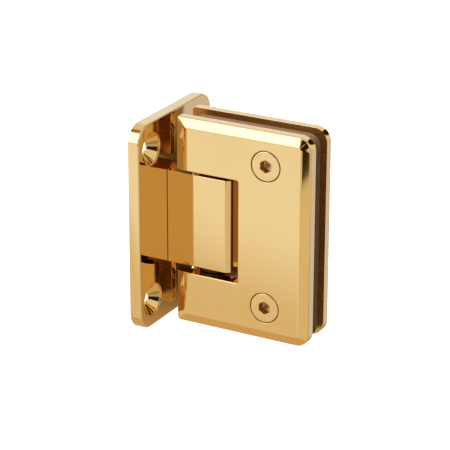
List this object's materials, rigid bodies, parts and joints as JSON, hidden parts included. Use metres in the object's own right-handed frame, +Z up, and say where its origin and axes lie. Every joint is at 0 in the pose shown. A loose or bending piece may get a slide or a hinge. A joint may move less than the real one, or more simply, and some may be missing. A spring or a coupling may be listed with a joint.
{
  "type": "glass-to-wall hinge",
  "caption": "Glass-to-wall shower hinge: polished gold wall plate with a pivot block, and a bevelled two-plate glass clamp that swings both ways about a vertical pin.",
  "frame": {"origin": "centre of the wall plate's back face", "axes": "+X away from the wall, along the glass of a closed door; +Z up, along the pin; the front clamp plate faces -Y"},
  "size_m": [0.0726, 0.06, 0.091],
  "materials": {
    "polished_gold": "mirror-polished gold-coloured coating on brass",
    "screw_gold": "gold-coloured coating on steel",
    "steel": "bright turned steel",
    "spring_steel": "drawn spring wire",
    "shoe_brass": "machined, greased",
    "black_plastic": "moulded",
    "sleeve_plastic": "moulded, slightly translucent",
    "gasket_plastic": "soft translucent sheet"
  },
  "bodies": {
    "wall_side": {"wall_plate": "polished_gold", "pivot_block": "polished_gold", "block_screw_upper": "steel", "block_screw_lower": "steel", "bush_upper": "black_plastic", "bush_lower": "black_plastic", "detent_spring_upper": "spring_steel", "detent_spring_lower": "spring_steel"},
    "detent": {"detent_shoe": "shoe_brass"},
    "glass_side": {"pin_cam": "steel", "pin_end_upper": "steel", "pin_end_lower": "steel", "front_clamp_plate": "polished_gold", "rear_clamp_plate": "polished_gold", "clamp_screw_upper": "screw_gold", "clamp_screw_lower": "screw_gold", "screw_sleeve_upper": "sleeve_plastic", "screw_sleeve_lower": "sleeve_plastic", "glass_gasket_1": "gasket_plastic", "glass_gasket_2": "gasket_plastic", "glass_gasket_3": "gasket_plastic"}
  },
  "joints": [
    {"name": "door_swing", "type": "hinge", "parent": "wall_side", "child": "glass_side", "pos_m": [0.024, 0, 0], "axis": [0, 0, 1], "range_deg": [-90, 90]},
    {"name": "shoe_slide", "type": "slide", "parent": "wall_side", "child": "detent", "axis": [1, 0, 0], "range_m": [0, 0.00055], "stiffness_N_per_m": 1000, "springref_m": 0.00055}
  ]
}
